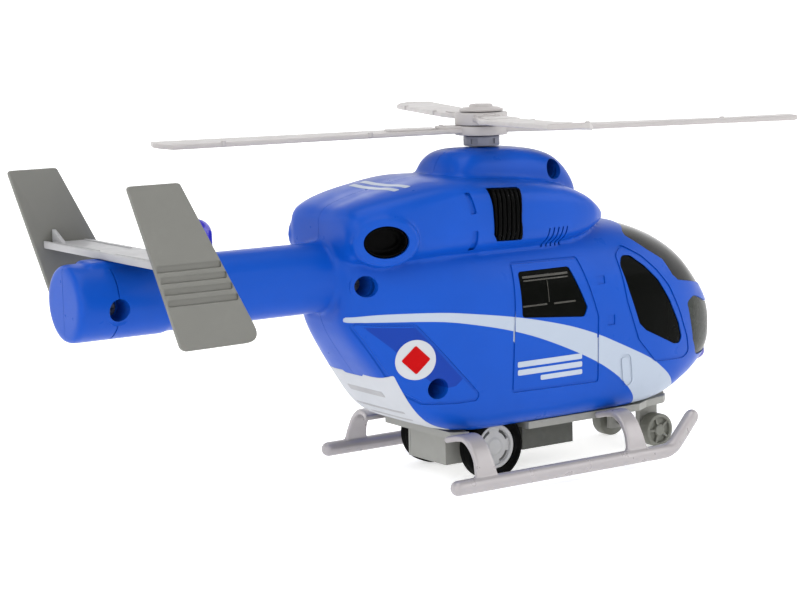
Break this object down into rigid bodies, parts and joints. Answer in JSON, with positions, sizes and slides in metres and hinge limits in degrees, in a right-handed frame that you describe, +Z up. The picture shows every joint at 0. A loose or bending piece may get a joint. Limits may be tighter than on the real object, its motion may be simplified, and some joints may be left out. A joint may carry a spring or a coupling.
{
  "type": "toy helicopter",
  "caption": "Plastic toy helicopter with a free-spinning crossed rotor, friction-drive rear wheels with a geared flywheel, front wheels, landing skids and a finned tail.",
  "frame": {"origin": "on the floor under the middle of the whole toy, rotor blades included", "axes": "-Y towards the nose, +Y towards the tail, +Z up, -X starboard, +X port; the airframe is symmetric about X = 0"},
  "size_m": [0.1992, 0.25, 0.1198],
  "materials": {
    "abs_blue": "moulded gloss blue ABS",
    "glass_black": "polished black window plastic",
    "trim_black": "satin black plastic",
    "rotor_grey": "light grey moulded plastic",
    "tail_grey": "mid grey moulded plastic",
    "skid_grey": "pearl light grey plastic",
    "tyre_rubber": "soft black rubber",
    "wheel_grey": "light grey hub plastic",
    "box_grey": "dark grey plastic",
    "lens_violet": "violet-blue lens plastic",
    "steel": "plain steel",
    "gear_white": "natural acetal",
    "brass": "plain brass",
    "board_green": "green lacquered board"
  },
  "bodies": {
    "airframe": {"shell_starboard": "abs_blue", "shell_port": "abs_blue", "windshield": "glass_black", "cabin_window_starboard": "glass_black", "cabin_window_port": "glass_black", "door_window_starboard": "glass_black", "door_window_port": "glass_black", "chin_window_starboard": "glass_black", "chin_window_port": "glass_black", "intake_starboard": "trim_black", "intake_port": "trim_black", "exhaust_starboard": "trim_black", "exhaust_port": "trim_black", "speaker": "trim_black", "tailplane": "tail_grey", "fin_starboard": "tail_grey", "fin_port": "tail_grey", "skid_starboard": "skid_grey", "skid_port": "skid_grey", "base_plate": "skid_grey", "gearbox_case": "skid_grey", "gearbox_cover": "skid_grey", "mast_collar": "skid_grey", "battery_box": "box_grey", "battery_door": "box_grey", "nose_light": "lens_violet", "tail_beacon": "lens_violet", "speaker_magnet": "steel", "cell_1": "steel", "cell_2": "steel", "cell_3": "steel", "cell_4": "steel", "switch_body": "steel", "shell_screw_1": "steel", "shell_screw_2": "steel", "shell_screw_3": "steel", "shell_screw_4": "steel", "bearing_plate": "gear_white", "led_nose": "gear_white", "led_tail": "gear_white", "contact_starboard": "brass", "contact_port": "brass", "circuit_board": "board_green"},
    "rotor": {"rotor_bar_lower": "rotor_grey", "rotor_bar_upper": "rotor_grey", "rotor_cap": "rotor_grey", "rotor_shaft": "steel"},
    "rear_wheels": {"rear_axle": "steel", "axle_gear": "gear_white", "tyre_starboard": "tyre_rubber", "tyre_port": "tyre_rubber", "rear_hub_starboard": "wheel_grey", "rear_hub_port": "wheel_grey"},
    "front_wheels": {"front_axle": "steel", "front_wheel_starboard": "box_grey", "front_wheel_port": "box_grey"},
    "idler": {"idler_gear": "gear_white"},
    "flywheel_set": {"flywheel": "steel", "flywheel_pinion": "brass"},
    "switch_slider": {"switch_knob": "trim_black"}
  },
  "joints": [
    {"name": "rotor_spin", "type": "hinge", "parent": "airframe", "child": "rotor", "pos_m": [0, -0.0254, 0.1114], "axis": [0, 0, 1], "continuous": true},
    {"name": "rear_axle_spin", "type": "hinge", "parent": "airframe", "child": "rear_wheels", "pos_m": [0, -0.0147, 0.0109], "axis": [1, 0, 0], "continuous": true},
    {"name": "idler_spin", "type": "hinge", "parent": "airframe", "child": "idler", "pos_m": [-0.0045, -0.00926, 0.01344], "axis": [1, 0, 0], "continuous": true},
    {"name": "flywheel_spin", "type": "hinge", "parent": "airframe", "child": "flywheel_set", "pos_m": [0, -0.00974, 0.01892], "axis": [1, 0, 0], "continuous": true},
    {"name": "front_axle_spin", "type": "hinge", "parent": "airframe", "child": "front_wheels", "pos_m": [0, -0.0881, 0.0057], "axis": [1, 0, 0], "continuous": true},
    {"name": "switch_slide", "type": "slide", "parent": "airframe", "child": "switch_slider", "axis": [0, 1, 0], "range_m": [0, 0.0024]}
  ],
  "couplings": [
    {"joint": "idler_spin", "follows": "rear_axle_spin", "ratio": -2},
    {"joint": "flywheel_spin", "follows": "rear_axle_spin", "ratio": 3.5}
  ]
}
